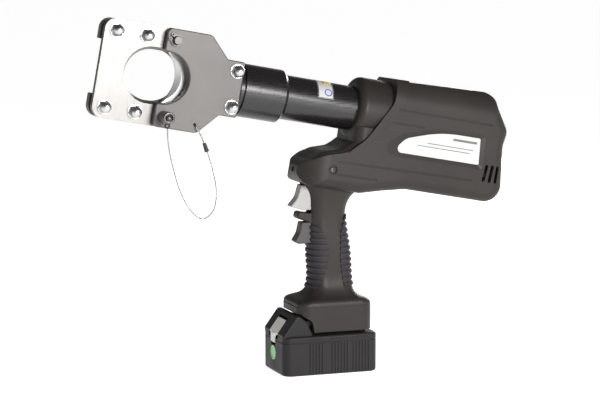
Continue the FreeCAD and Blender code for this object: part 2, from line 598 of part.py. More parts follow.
def pan_screw(u, w, y_seat, s, length):
    """A pan-head screw seated at y_seat, its shank running away from side s."""
    shank = cyl_y(1.5, min(y_seat, y_seat - s * length), max(y_seat, y_seat - s * length), u, w)
    ball = Part.makeSphere(5.0, V(u, y_seat - s * 2.8, w))
    head = ball.common(cyl_y(3.1, min(y_seat, y_seat + s * 3), max(y_seat, y_seat + s * 3), u, w))
    cross = [box(u - 2.0, u + 2.0, -60, 60, w - 0.45, w + 0.45), box(u - 0.45, u + 0.45, -60, 60, w - 2.0, w + 2.0)]
    y0, y1 = sorted((y_seat + s * 1.0, y_seat + s * 5))
    keep = box(u - 5, u + 5, y0, y1, w - 5, w + 5)
    return shank.fuse(head.cut([c.common(keep) for c in cross]))


screws = [pan_screw(SCREW_LEFT[0], SCREW_LEFT[1], -36.6, -1, 60)]
screws += [pan_screw(u, w, 32.0, 1, 50) for u, w in SCREWS_RIGHT]
save("housing_screws", tilted(group(screws)))
plate_l = side(LEAF, -SHELL_HALF + 0.8, -SHELL_HALF + DISH_DEEP)
save("name_plate", tilted(plate_l))
lens = cyl_u(3.4, 0, 9).fuse(cyl_u(4.6, 5.5, 8.5))
lens = rounded(lens, 1.5, lambda e: e.BoundBox.XMax < 0.01)
lens.translate(V(-30.2, 0, LENS_Z))
save("led_lens", lens)

# ribbed pads on the grip
FRONT_PAD = [(-40, 95.5, 0), (-12, 95.5, 4), (-1, 110, 14), (3.0, 137, 30), (-1, 158, 14), (-10, 166, 6),
             (-24, 173.5, 0), (-40, 173.5, 0)]
REAR_PAD = [(60, 98, 0), (60, 178, 0), (24.5, 178, 4), (18, 160, 14), (17, 130, 30), (20.5, 98, 4)]


def pad(region, z0, count, pitch, gap):
    """A ribbed skin on the grip; each rib has a broad foot and a narrower crest."""
    foot_skin = grip_body(-1.2)
    crest_skin = grip_body(-1.9)
    keep = grip_body(-0.4)
    gaps = []
    steps = []
    for i in range(count):
        z = z0 + i * pitch
        gaps.append(box(-60, 80, -40, 40, z, z + gap))
        steps.append(box(-60, 80, -40, 40, z - 0.8, z + gap + 0.8))
    ribs = foot_skin.cut(group(gaps).cut(keep))
    crests = crest_skin.common(side(region, -40, 40)).cut(steps)
    return ribs.common(side(region, -40, 40)).fuse(crests).cut(grip_body(0))


front_pad = pad(FRONT_PAD, 99.0, 11, 6.8, 2.2).cut(box(-60, 0, -8.3, 8.3, 145.6, 175)).cut(spur)
save("front_grip_pad", front_pad)
save("rear_grip_pad", pad(REAR_PAD, 101.5, 11, 6.8, 2.6))

# ================= triggers =================
start = side([(-25.8, 213.2, 1.5), (-30.0, 199.0, 16), (-38.8, 188.9, 1.2), (-24.0, 184.4, 1.5),
              (-12, 184.4, 1), (-12, 213.2, 1)], -7.9, 7.9)
start = rounded(start, 1.6, lambda e: e.BoundBox.YLength < 0.01 and e.BoundBox.XMax < -11.9
                and e.BoundBox.XMin < -13)
start = start.fuse(box(-14, -7.5, -4, 4, 192, 204))
save("start_trigger", start)
retract = side([(-25.2, 170.6, 1.5), (-27.6, 158.8, 14), (-33.4, 149.0, 1.2), (-29.0, 146.2, 1.2),
                (-12, 146.2, 1), (-12, 170.6, 1)], -7.9, 7.9)
retract = rounded(retract, 1.6, lambda e: e.BoundBox.YLength < 0.01 and e.BoundBox.XMax < -11.9
                  and e.BoundBox.XMin < -13)
retract = retract.fuse(box(-14, -7.5, -4, 4, 154, 163))
save("retract_trigger", retract)
switch = fuse([box(-0.8, 22, -11, 11, 183, 211), box(22, 24.5, -7, 7, 188, 206),
               cyl_z(2.0, 174, 184, 8, 5), cyl_z(2.0, 174, 184, 8, -5)])
save("start_switch", switch.cut(box(-2, 4, -4.5, 4.5, 190, 206)))
switch = fuse([box(-1.8, 14, -7, 7, 148, 169), cyl_z(1.6, 140, 149, 9, 3), cyl_z(1.6, 140, 149, 9, -3)])
save("retract_switch", switch.cut(box(-3, 3.5, -4.5, 4.5, 152, 165)))

# ================= battery =================
HL = BATTERY_L / 2.0
HW = BATTERY_W / 2.0
SEAM = 38.2
LEDGE = 45.0
CASE = [(-HL, -HW, 10), (HL, -HW, 10), (HL, HW, 10), (-HL, HW, 10), (-HL - 1.0, 0, 90)]
case = plan(CASE, 0, SEAM)
case = rounded(case, 3.0, lambda e: e.BoundBox.ZMax < 0.01)
case = case.cut(plan(inset(CASE, 2.2), 2.4, SEAM + 1))
FLUTES = [-27.5 + 3.7 * i for i in range(5)] + [-1.0 + 3.7 * i for i in range(6)]
FLUTES += [24.5 + 3.7 * i for i in range(6)]
flutes = []
nibs = []
for x in FLUTES:
    flutes += [box(x, x + 1.5, -HW - 1, -HW + 0.9, -1, 36.4), box(x, x + 1.5, HW - 0.9, HW + 1, -1, 36.4)]
    nibs += [box(x - 0.3, x + 1.8, -HW - 0.5, -HW + 1, 39.8, 42.4), box(x - 0.3, x + 1.8, HW - 1, HW + 0.5, 39.8, 42.4)]
case = case.cut(flutes)
case = case.cut(plan(inset(CASE, -1), SEAM - 0.9, SEAM + 1).cut(plan(inset(CASE, 0.7), 30, 50)))
case = case.cut(side([(-70, 7, 0), (-HL - 0.8, 7, 6), (-HL + 0.2, 1.5, 3), (-HL + 4, -3, 0), (-70, -3, 0)], -22, 22)
                .common(plan(inset(CASE, -1), -1, 20)))
TONGUE_Z = 34.5
tongue_slot = box(-60, -54.3, -7.0, 7.0, TONGUE_Z - 3.4, LEDGE + 4)
case = case.cut(tongue_slot)
BADGE_Z = 22.5
case = case.cut(Part.makeCylinder(8.4, 6, V(-HL - 5.6, 0, BADGE_Z), V(1, 0, 0)))
save("battery_case_lower", case)
badge = Part.makeCylinder(8.2, 1.2, V(-HL - 0.9, 0, BADGE_Z), V(1, 0, 0))
badge = badge.cut(Part.makeCylinder(6.6, 1, V(-HL - 1.4, 0, BADGE_Z), V(1, 0, 0)))
save("battery_badge", badge)
top = plan(CASE, SEAM, LEDGE)
top = rounded(top, 2.5, lambda e: e.BoundBox.ZMin > LEDGE - 0.01)
hump = side([(-HL, 42, 0), (-HL - 0.4, 46.5, 3), (-41, 68.2, 3), (-36, 67.9, 4), (-27, 60.5, 8),
             (-21.0, 46, 3), (-18.5, 42, 0)], -33.5, 33.5)
hump = rounded(hump, 3.0, lambda e: e.BoundBox.YLength < 0.01 and e.BoundBox.ZMin > 43)
rails = slot(-28, 48.5, 21.9, 4.5, 42, 56.5).fuse(slot(-28, 48.5, 27.1, 9, 55.8, 61.0))
top = fuse([top, hump, rails] + nibs)
top = top.cut(plan(inset(CASE, 2.4), SEAM - 1, LEDGE - 2.2))
top = top.cut([box(14, 60, y - 1.2, y + 1.2, 52, 64) for y in (-13, 13)] + [tongue_slot])
seat = side([(-62, 40, 0), (-54.3, 40, 0), (-50.6, 43.0, 0), (-38.6, 59.2, 0), (-44.6, 63.6, 0),
             (-62, 52, 0)], -14.4, 14.4)
top = top.cut(seat)
save("battery_case_upper", top)
button = side([(-56.0, 44.6, 0.6), (-54.4, 43.4, 0.6), (-43.0, 58.8, 0.6), (-45.8, 61.0, 1.2),
               (-57.0, 46.0, 1.0)], -13.8, 13.8)
button = button.fuse(side([(-57.9, TONGUE_Z, 0.6), (-56.6, TONGUE_Z, 0), (-56.4, 42.4, 0), (-54.4, 43.4, 0),
                           (-56.0, 47.2, 0), (-57.9, 45.0, 1.0)], -6.5, 6.5))
save("battery_button", button)
cells = []
for row in range(2):
    for i in range(5):
        cells.append(cyl_y(9.0, -32.5, 32.5, (i - 2) * 18.9, 11.8 + row * 18.5))
save("battery_cells", group(cells))
blades = fuse([box(-14, 46, -26, 26, 66.4, 70.4), box(20, 44, -13.4, -12.6, 54.5, 67), box(20, 44, 12.6, 13.4, 54.5, 67)])
save("terminal_block", blades)
board = fuse([box(-8, 30, -15, 15, 76.5, 78.1), box(-4, 8, -12, 12, 78, 84), cyl_z(5, 78, 94, 18, 0)])
save("control_board", board)


# ================= drive =================
def gear(teeth, u0, u1, thin):
    """A spur gear along u at the origin, its teeth thinned by thin for backlash."""
    rp = MODULE * teeth / 2.0
    rb = rp * math.cos(math.radians(20))
    ra = rp + MODULE * 0.95
    rr = rp - MODULE * 1.2
    inv = math.tan(math.radians(20)) - math.radians(20)
    half_p = math.pi / (2 * teeth) - thin / (2 * rp)
    points = []
    flank = [max(rb, rr + 0.05), (max(rb, rr) + rp) / 2.0, rp, (rp + ra) / 2.0, ra]
    angles = []
    for r in flank:
        a = math.acos(min(1.0, rb / r))
        angles.append((r, half_p + inv - (math.tan(a) - a)))
    for i in range(teeth):
        c = 2 * math.pi * i / teeth
        points.append((rr, c - angles[0][1] - 0.01))
        points += [(r, c - h) for r, h in angles]
        points += [(r, c + h) for r, h in reversed(angles)]
        points.append((rr, c + angles[0][1] + 0.01))
    pts = [V(u0, r * math.cos(t), r * math.sin(t)) for r, t in points]
    return Part.Face(Part.makePolygon(pts + pts[:1])).extrude(V(u1 - u0, 0, 0))


SUN_R = MODULE * SUN_T / 2.0
ARM = MODULE * (SUN_T + PLANET_T) / 2.0
GEAR_U0 = 324.0
GEAR_U1 = 336.0


def at_motor(shape, y=0.0, w=0.0):
    shape.translate(V(0, y, MOTOR_W + w))
    return shape


sun = gear(SUN_T, GEAR_U0 + 1, GEAR_U1 + 4.5, 0.1)
sun = sun.cut(cyl_u(2.5, GEAR_U0, GEAR_U1 + 10))
save("sun_pinion", tilted(at_motor(sun)))
for k in range(3):
    turn = 90.0 + 120.0 * k
    # each planet is turned so that a gap of its teeth meets the sun's tooth
    planet = gear(PLANET_T, GEAR_U0 + 1, GEAR_U1 - 1, 0.1).cut(cyl_u(2.53, GEAR_U0, GEAR_U1))
    phase = turn * (SUN_T + PLANET_T) / PLANET_T + 180.0 + 180.0 / PLANET_T
    planet.rotate(V(0, 0, 0), V(1, 0, 0), phase)
    y = ARM * math.cos(math.radians(turn))
    w = ARM * math.sin(math.radians(turn))
    save("planet_gear_" + str(k + 1), tilted(at_motor(planet, y, w)))
ring_r = MODULE * RING_T / 2.0
inner = gear(RING_T, GEAR_U0 - 3, GEAR_U1 + 3, -0.12)
relief = cyl_u(ring_r + 1.1, GEAR_U0 - 3, GEAR_U1 + 3)
inner = inner.fuse(cyl_u(ring_r - 0.75, GEAR_U0 - 3, GEAR_U1 + 3)).common(relief)
inner.rotate(V(0, 0, 0), V(1, 0, 0), 180.0 / RING_T)
ring = cyl_u(23.5, GEAR_U0 - 2, GEAR_U1 + 4).cut(inner)
save("ring_gear", tilted(at_motor(ring.cut(cyl_u(6.5, GEAR_U1, GEAR_U1 + 6)))))
pins = [cyl_u(2.5, GEAR_U0 - 3, GEAR_U1 - 0.5, ARM * math.cos(math.radians(a)), ARM * math.sin(math.radians(a)))
        for a in (90, 210, 330)]
carrier = fuse([cyl_u(17.5, GEAR_U0 - 5, GEAR_U0 + 0.5), cyl_u(7.0, 286, GEAR_U0 - 4),
                cyl_u(9.6, 296, 308, 0, 2.0)] + pins)
save("planet_carrier", tilted(at_motor(carrier)))

# pump: one steel block behind the cylinder, with the eccentric below and the plunger above it
block = side([(262.4, -66, 3), (318, -66, 3), (318, -18, 3), (312, 12, 3), (262.4, 30, 4)], -25, 25)
block = block.common(section([(-25, -70, 0), (25, -70, 0), (25, 40, 12), (-25, 40, 12)], 260, 320))
spigot = cyl_u(BORE_R - 0.02, 252.0, 262.6)
block = block.common(cyl_u(33.0, 255, 325).fuse(box(255, 325, -30, 30, -70, -5))).fuse(spigot)
block = block.cut([cyl_u(15.0, 293, 312, 0, MOTOR_W), cyl_u(7.1, 280, 330, 0, MOTOR_W),
                   cyl_u(18.2, 311.9, 330, 0, MOTOR_W), cyl_u(2.0, 250, 275, 0, 0),
                   cyl_u(4.05, 312.5, 320, 0, 4)])
block = block.cut([Part.makeCylinder(4.03, 40, V(302, 0, MOTOR_W + 10), V(0, 0, 1)),
                   Part.makeCylinder(3.0, 30, V(275, 0, 5), V(0, 0, 1))])
save("pump_body", tilted(block))
plunger = Part.makeCylinder(4.0, 18, V(302, 0, MOTOR_W + 11.9), V(0, 0, 1))
save("pump_plunger", tilted(plunger))
valve = Part.makeCylinder(2.95, 16, V(275, 0, 8), V(0, 0, 1)).fuse(
    Part.makeCylinder(4.5, 3.6, V(275, 0, 28.6), V(0, 0, 1))).fuse(
    Part.makeCylinder(2.95, 6, V(275, 0, 23), V(0, 0, 1)))
save("release_valve", tilted(valve.fuse(box(274, 276, -1, 1, 24, 30))))
tank = side([(320, -12, 6), (392, -12, 8), (390, 20, 6), (380, 35.5, 6), (318, 35.5, 8)], -30, 30)
tank = tank.common(section([(-30, -14, 6), (30, -14, 6), (30, 35.5, 20), (-30, 35.5, 20)], 310, 440))
tank_in = side([(323, -9, 4), (389, -9, 5), (387, 19, 4), (378, 32.5, 4), (321, 32.5, 5)], -27, 27)
tank = tank.cut(tank_in).fuse(cyl_u(4, 313, 322, 0, 4))
save("oil_reservoir", tilted(tank.cut(cyl_u(2.2, 312, 325, 0, 4))))

can = cyl_u(23.0, 346, 408).cut(cyl_u(20.5, 345, 404.5)).cut(cyl_u(6.1, 400, 412))
for s in (-1, 1):
    magnet = cyl_u(20.5, 352, 398).cut(cyl_u(16.0, 350, 400))
    can = can.fuse(magnet.common(box(350, 400, min(s * 6, s * 24), max(s * 6, s * 24), -30, 30)))
save("motor_can", tilted(at_motor(can)))
front = cyl_u(23.0, GEAR_U1 + 4.2, 345.8).cut(cyl_u(6.0, 330, 350))
save("motor_front_plate", tilted(at_motor(front)))
rotor = fuse([cyl_u(2.45, GEAR_U0 + 1, 424), cyl_u(15.0, 354, 392), cyl_u(9.0, 393, 402), cyl_u(5.9, 341, 348)])
for i in range(10):
    slot = box(353, 393, -1.2, 1.2, 9.5, 16)
    slot.rotate(V(0, 0, 0), V(1, 0, 0), 36 * i)
    rotor = rotor.cut(slot)
save("motor_rotor", tilted(at_motor(rotor)))
fan = cyl_u(6.0, 411, 421).fuse(cyl_u(20.0, 419, 420.6))
for i in range(9):
    blade_f = box(411.5, 419.5, -0.7, 0.7, 5.5, 20)
    blade_f.rotate(V(0, 0, 0), V(1, 0, 0), 40 * i)
    fan = fan.fuse(blade_f)
save("cooling_fan", tilted(at_motor(fan.cut(cyl_u(2.45, 400, 430)))))
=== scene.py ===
import math

import bpy
from mathutils import Matrix, Vector


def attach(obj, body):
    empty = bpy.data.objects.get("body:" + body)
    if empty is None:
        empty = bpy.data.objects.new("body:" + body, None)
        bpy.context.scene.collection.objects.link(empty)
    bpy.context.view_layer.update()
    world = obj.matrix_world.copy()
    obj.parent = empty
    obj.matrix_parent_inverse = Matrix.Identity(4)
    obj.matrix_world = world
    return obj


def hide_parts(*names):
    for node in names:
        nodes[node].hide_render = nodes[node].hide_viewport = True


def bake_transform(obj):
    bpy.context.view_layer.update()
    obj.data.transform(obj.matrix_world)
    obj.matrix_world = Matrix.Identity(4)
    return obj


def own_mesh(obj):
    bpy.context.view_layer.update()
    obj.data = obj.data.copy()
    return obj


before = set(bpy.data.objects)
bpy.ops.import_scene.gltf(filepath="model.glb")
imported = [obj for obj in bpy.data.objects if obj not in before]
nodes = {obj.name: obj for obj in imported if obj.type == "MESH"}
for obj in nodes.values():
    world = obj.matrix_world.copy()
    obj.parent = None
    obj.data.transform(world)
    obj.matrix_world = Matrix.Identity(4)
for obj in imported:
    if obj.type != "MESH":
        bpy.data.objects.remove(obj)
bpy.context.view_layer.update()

# ---------------------------------------------------------------- camera
AZIMUTH = math.radians(-19.77)
PITCH = math.radians(7.11)
CAMERA_PLACE = (-0.8120, -2.1900, 0.4857)
SENSOR_WIDTH = 36.0
FOCAL_LENGTH = 124.3
CLIP_END = 50.0
back = Vector((
    math.sin(AZIMUTH) * math.cos(PITCH),
    -math.cos(AZIMUTH) * math.cos(PITCH),
    math.sin(PITCH)))
right = Vector((math.cos(AZIMUTH), math.sin(AZIMUTH), 0.0))
up = back.cross(right)
camera_data = bpy.data.cameras.new("camera")
camera_data.sensor_width = SENSOR_WIDTH
camera_data.lens = FOCAL_LENGTH
camera_data.clip_end = CLIP_END
camera = bpy.data.objects.new("camera", camera_data)
camera.matrix_world = Matrix((
    (right.x, up.x, back.x, CAMERA_PLACE[0]),
    (right.y, up.y, back.y, CAMERA_PLACE[1]),
    (right.z, up.z, back.z, CAMERA_PLACE[2]),
    (0, 0, 0, 1)))
bpy.context.scene.collection.objects.link(camera)
bpy.context.scene.camera = camera


# ---------------------------------------------------------------- materials
def new_material(name):
    """A material with one Principled shader: the material, its node tree and the shader."""
    m = bpy.data.materials.new(name)
    m.use_nodes = True
    t = m.node_tree
    t.nodes.clear()
    out = t.nodes.new("ShaderNodeOutputMaterial")
    bsdf = t.nodes.new("ShaderNodeBsdfPrincipled")
    t.links.new(bsdf.outputs[0], out.inputs[0])
    return m, t, bsdf


def coords(t, scale=(1, 1, 1), rotation=(0, 0, 0)):
    """The object's own coordinates, stretched and turned."""
    c = t.nodes.new("ShaderNodeTexCoord")
    mapping = t.nodes.new("ShaderNodeMapping")
    mapping.inputs["Scale"].default_value = scale
    mapping.inputs["Rotation"].default_value = rotation
    t.links.new(c.outputs["Object"], mapping.inputs["Vector"])
    return mapping.outputs["Vector"]


def noise(t, vector, scale, detail=3.0, rough=0.5):
    n = t.nodes.new("ShaderNodeTexNoise")
    n.inputs["Scale"].default_value = scale
    n.inputs["Detail"].default_value = detail
    n.inputs["Roughness"].default_value = rough
    t.links.new(vector, n.inputs["Vector"])
    return n.outputs["Fac"]


def ramp(t, fac, low, high, p0=0.3, p1=0.7):
    """A colour that goes from low at p0 to high at p1."""
    r = t.nodes.new("ShaderNodeValToRGB")
    r.color_ramp.elements[0].position = p0
    r.color_ramp.elements[1].position = p1
    r.color_ramp.elements[0].color = low
    r.color_ramp.elements[1].color = high
    t.links.new(fac, r.inputs["Fac"])
    return r.outputs["Color"]


def grey(v):
    return (v, v, v, 1.0)


def bump(t, bsdf, height, distance, strength, after):
    """Bumps a shader's surface, on top of the normal that comes before."""
    b = t.nodes.new("ShaderNodeBump")
    b.inputs["Strength"].default_value = strength
    b.inputs["Distance"].default_value = distance
    t.links.new(height, b.inputs["Height"])
    t.links.new(after, b.inputs["Normal"])
    t.links.new(b.outputs["Normal"], bsdf.inputs["Normal"])


def edge_wear(t, radius):
    """The rounded-edge normal, and a mask that is 1 along outer edges."""
    soft = t.nodes.new("ShaderNodeBevel")
    soft.samples = 4
    soft.inputs["Radius"].default_value = radius
    geometry = t.nodes.new("ShaderNodeNewGeometry")
    dot = t.nodes.new("ShaderNodeVectorMath")
    dot.operation = "DOT_PRODUCT"
    t.links.new(soft.outputs["Normal"], dot.inputs[0])
    t.links.new(geometry.outputs["Normal"], dot.inputs[1])
    return soft.outputs["Normal"], ramp(t, dot.outputs["Value"], grey(1.0), grey(0.0), 0.84, 0.99)


def mixed(t, fac, a, b):
    """Colour a where fac is 0, b where fac is 1."""
    mix = t.nodes.new("ShaderNodeMix")
    mix.data_type = "RGBA"
    t.links.new(fac, mix.inputs["Factor"])
    for socket, value in ((mix.inputs[6], a), (mix.inputs[7], b)):
        if isinstance(value, tuple):
            socket.default_value = value
        else:
            t.links.new(value, socket)
    return mix.outputs[2]


def times(t, a, b):
    """The product of two values."""
    m = t.nodes.new("ShaderNodeMath")
    m.operation = "MULTIPLY"
    t.links.new(a, m.inputs[0])
    t.links.new(b, m.inputs[1])
    return m.outputs[0]


def tinted(colour, k):
    """A colour k times as bright."""
    return tuple(min(1.0, x * k) for x in colour) + (1.0,)


PLASTIC_EDGE = 0.0006
PLASTIC_BUMP = 0.35
METAL_EDGE = 0.0004
METAL_BUMP = 0.25
METAL_SPREAD = 0.08


def plastic(name, colour, rough, grain, depth, vary=0.12, specular=0.22, worn=1.5):
    """Moulded plastic: spark-eroded grain, faint colour and gloss variation, rubbed edges."""
    m, t, b = new_material(name)
    v = coords(t)
    cloud = noise(t, v, 14.0, 4.0)
    body = ramp(t, cloud, tinted(colour, 1 - vary), tinted(colour, 1 + vary))
    normal, rim = edge_wear(t, PLASTIC_EDGE)
    patchy = ramp(t, noise(t, v, 60.0, 4.0, 0.65), grey(0.1), grey(0.8), 0.35, 0.65)
    rubbed = times(t, rim, patchy)
    t.links.new(mixed(t, rubbed, body, tinted(colour, worn)), b.inputs["Base Color"])
    smudge = noise(t, v, 45.0, 5.0, 0.6)
    t.links.new(ramp(t, smudge, grey(rough - 0.06), grey(rough + 0.08)), b.inputs["Roughness"])
    bump(t, b, noise(t, v, grain, 2.0, 0.6), depth, PLASTIC_BUMP, normal)
    b.inputs["Specular IOR Level"].default_value = specular
    return m


def metal(name, colour, rough, lines, depth=0.00001, vary=0.05, metallic=1.0, worn=1.3,
          specular=0.5, stretch=(1, 1, 1), rotation=(0, 0, 0), sides=None):
    """Metal with the tool marks running along the axis that stretch is small on.

    With sides, the faces that do not look along Y take that colour, as painted shade on those side
    faces.
    """
    m, t, b = new_material(name)
    v = coords(t, stretch, rotation)
    marks = noise(t, v, lines, 2.0, 0.6)
    plain = coords(t)
    cloud = noise(t, plain, 22.0, 4.0)
    body = ramp(t, cloud, tinted(colour, 1 - vary), tinted(colour, 1 + vary))
    normal, rim = edge_wear(t, METAL_EDGE)
    patchy = ramp(t, noise(t, plain, 90.0, 4.0, 0.65), grey(0.15), grey(0.9), 0.35, 0.65)
    body = mixed(t, times(t, rim, patchy), body, tinted(colour, worn))
    # painted shade: the faces that do not look along Y are darkened to the sides colour
    if sides:
        c = t.nodes.new("ShaderNodeTexCoord")
        split = t.nodes.new("ShaderNodeSeparateXYZ")
        t.links.new(c.outputs["Normal"], split.inputs[0])
        size = t.nodes.new("ShaderNodeMath")
        size.operation = "ABSOLUTE"
        t.links.new(split.outputs["Y"], size.inputs[0])
        painted_side_shade = ramp(t, size.outputs[0], grey(0.0), grey(1.0), 0.15, 0.3)
        body = mixed(t, painted_side_shade, tinted(sides, 1.0), body)
    t.links.new(body, b.inputs["Base Color"])
    gloss = ramp(t, marks, grey(rough - METAL_SPREAD), grey(rough + METAL_SPREAD))
    t.links.new(gloss, b.inputs["Roughness"])
    bump(t, b, marks, depth, METAL_BUMP, normal)
    b.inputs["Metallic"].default_value = metallic
    b.inputs["Specular IOR Level"].default_value = specular
    return m


TILT = math.radians(10.4)  # the barrel's axis above the horizontal
ALONG_BARREL = (0, TILT, 0)
GROUND_LINES = (1, 1, 0.05)
TURNED_LINES = (0.06, 1, 1)

HOUSING = plastic("housing_plastic", (0.0275, 0.0245, 0.0222), 0.42, 800.0, 0.0001, specular=0.19)
PAD = plastic("grip_rubber", (0.030, 0.026, 0.030), 0.6, 1200.0, 0.00004, worn=1.25)
BATTERY = plastic("battery_plastic", (0.019, 0.0175, 0.018), 0.46, 800.0, 0.00008, specular=0.18)
LIGHT = plastic("trigger_light", (0.34, 0.33, 0.32), 0.42, 1500.0, 0.00002, 0.03,
                worn=1.15, specular=0.4)
DARK = plastic("trigger_dark", (0.05, 0.045, 0.045), 0.45, 1500.0, 0.00003, 0.06, specular=0.4)
CREAM = plastic("button_cream", (0.80, 0.785, 0.74), 0.42, 1500.0, 0.00002, 0.03, worn=1.1)
WHITE = plastic("label_white", (0.50, 0.50, 0.49), 0.38, 2500.0, 0.00001, 0.015,
                worn=0.9, specular=0.3)
PRINT = plastic("label_print", (0.13, 0.13, 0.13), 0.45, 2500.0, 0.00001, 0.1)
GREEN = plastic("badge_green", (0.34, 0.70, 0.32), 0.35, 2500.0, 0.00001, 0.05)
INNER = plastic("dark_plastic", (0.05, 0.05, 0.055), 0.5, 1200.0, 0.00003)
WRAP = plastic("cell_wrap", (0.06, 0.24, 0.32), 0.35, 1500.0, 0.00001)
TANK = plastic("tank_rubber", (0.06, 0.06, 0.062), 0.6, 1200.0, 0.00003)
SLEEVE = plastic("ferrule_sleeve", (0.03, 0.03, 0.03), 0.5, 1500.0, 0.00003)
BLACK = metal("black_steel", (0.012, 0.0105, 0.011), 0.28, 900.0, 0.00002, 0.1, 0.2,
              worn=4.0, specular=0.8, stretch=TURNED_LINES, rotation=ALONG_BARREL)
BACKST = metal("back_steel", (0.05, 0.045, 0.043), 0.45, 900.0, 0.00002, 0.1, 0.4,
               worn=2.0, rotation=ALONG_BARREL)
# yoke_steel's side colour is painted shade on the plates' edge walls
YOKE = metal("yoke_steel", (0.112, 0.105, 0.101), 0.5, 900.0, 0.00003, 0.06, 0.35,
             worn=1.6, sides=(0.030, 0.024, 0.022))
# ground_steel's side colour is painted shade on the blade's edge faces
GROUND = metal("ground_steel", (0.225, 0.217, 0.209), 0.42, 1400.0, 0.00001, 0.03, 0.85,
               stretch=GROUND_LINES, rotation=ALONG_BARREL, sides=(0.05, 0.042, 0.038))
CUTTER = metal("cutter_steel", (0.58, 0.575, 0.565), 0.36, 1400.0, 0.00001, 0.05, 0.8,
               stretch=GROUND_LINES, rotation=ALONG_BARREL)
# plated_steel's side colour is painted shade on the nuts' hex flanks
PLATED = metal("plated_steel", (0.62, 0.62, 0.62), 0.3, 1200.0, vary=0.06,
               sides=(0.20, 0.20, 0.205))
DARKST = metal("dark_steel", (0.10, 0.095, 0.09), 0.36, 900.0, 0.00002, 0.1, 0.8, worn=1.8)
GEARST = metal("gear_steel", (0.5, 0.5, 0.51), 0.32, 900.0)
WIREST = metal("wire_steel", (0.34, 0.34, 0.345), 0.35, 900.0, 0.00002, 0.08)
GLINTING_LENS, _, glinting_lens_shader = new_material("lens_clear_painted_glint")
glinting_lens_shader.inputs["Base Color"].default_value = (0.9, 0.9, 0.93, 1)
glinting_lens_shader.inputs["Roughness"].default_value = 0.08
glinting_lens_shader.inputs["Transmission Weight"].default_value = 0.6
# painted glint: the lens glows faintly, standing in for a glint on the LED
glinting_lens_shader.inputs["Emission Color"].default_value = (0.85, 0.88, 1, 1)
glinting_lens_shader.inputs["Emission Strength"].default_value = 0.25

LOOKS = {
    HOUSING: ["housing_left", "housing_right"],
    PAD: ["front_grip_pad", "rear_grip_pad"],
    BATTERY: ["battery_case_lower", "battery_case_upper"],
    LIGHT: ["start_trigger"],
    DARK: ["retract_trigger"],
    CREAM: ["battery_button"],
    WHITE: ["name_plate"],
    GREEN: ["battery_badge"],
    INNER: ["cooling_fan", "start_switch", "retract_switch", "control_board", "terminal_block"],
    WRAP: ["battery_cells"],
    TANK: ["oil_reservoir"],
    SLEEVE: ["lanyard_ferrule", "lanyard_eye"],
    BLACK: ["cylinder_tube", "swivel_collar"],
    BACKST: ["guide_rails", "back_arms"],
    CUTTER: ["moving_blade"],
    YOKE: ["yoke_plate_left", "yoke_plate_right"],
    GROUND: ["fixed_blade", "ram_rod", "piston", "pump_plunger"],
    PLATED: ["frame_nuts", "yoke_nuts", "frame_bolts", "yoke_bolts", "blade_screws",
             "release_valve", "collar_ring"],
    DARKST: ["lock_pin", "pin_button", "hinge_pin", "housing_screws", "hinge_circlips",
             "blade_holder", "pump_body", "return_spring", "cylinder_gland"],
    GEARST: ["sun_pinion", "ring_gear", "planet_carrier", "planet_gear_1", "planet_gear_2",
             "planet_gear_3", "motor_can", "motor_front_plate", "motor_rotor"],
    WIREST: ["lanyard_wire"],
    GLINTING_LENS: ["led_lens"],
}
for material, names in LOOKS.items():
    for name in names:
        mesh = nodes[name].data
        mesh.materials.clear()
        mesh.materials.append(material)


# ---------------------------------------------------------------- pieces
def add_piece(name, verts, faces, material, body, smooth=True):
    """A new mesh piece, which rides on a body if one is given."""
    mesh = bpy.data.meshes.new(name)
    mesh.from_pydata([tuple(v) for v in verts], [], faces)
    mesh.validate()
    mesh.update()
    mesh.materials.append(material)
    mesh.polygons.foreach_set("use_smooth", [smooth] * len(mesh.polygons))
    piece = bpy.data.objects.new(name, mesh)
    bpy.context.scene.collection.objects.link(piece)
    if body:
        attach(piece, body)
    return piece


AXIS_X = -205.0  # where the barrel's axis starts, in millimetres
AXIS_Z = 342.0


def barrel(u, y, w):
    """A point given along the barrel axis, in millimetres, as a place in metres."""
    return Vector((AXIS_X + u * math.cos(TILT) + w * math.sin(TILT), y,
                   AXIS_Z - u * math.sin(TILT) + w * math.cos(TILT))) / 1000.0


def smooth_line(name, points, steps=14):
    """The points of the smooth spline that has the given control points, in metres."""
    curve = bpy.data.curves.new(name, "CURVE")
    curve.dimensions = "3D"
    curve.resolution_u = steps
    spline = curve.splines.new("NURBS")
    spline.points.add(len(points) - 1)
    for point, place in zip(spline.points, points):
        point.co = (*place, 1.0)
    spline.order_u = 3
    spline.use_endpoint_u = True
    holder = bpy.data.objects.new(name, curve)
    bpy.context.scene.collection.objects.link(holder)
    mesh = bpy.data.meshes.new_from_object(holder)
    line = [v.co.copy() for v in mesh.vertices]
    bpy.data.objects.remove(holder)
    bpy.data.meshes.remove(mesh)
    return line


def even(line, step):
    """Points along a line at an even spacing."""
    out = [line[0].copy()]
    left = step
    for a, b in zip(line, line[1:]):
        span = (b - a).length
        at = 0.0
        while span - at >= left:
            at += left
            out.append(a.lerp(b, at / span))
            left = step
        left -= span - at
    out.append(line[-1].copy())
    return out


def carried_frames(line):
    """A direction and two cross directions at each point, carried along without twist."""
    frames = []
    across = Vector((0, 1, 0))
    for i, p in enumerate(line):
        ahead = (line[min(i + 1, len(line) - 1)] - line[max(i - 1, 0)]).normalized()
        across = (across - ahead * across.dot(ahead)).normalized()
        frames.append((p, across.copy(), ahead.cross(across)))
    return frames


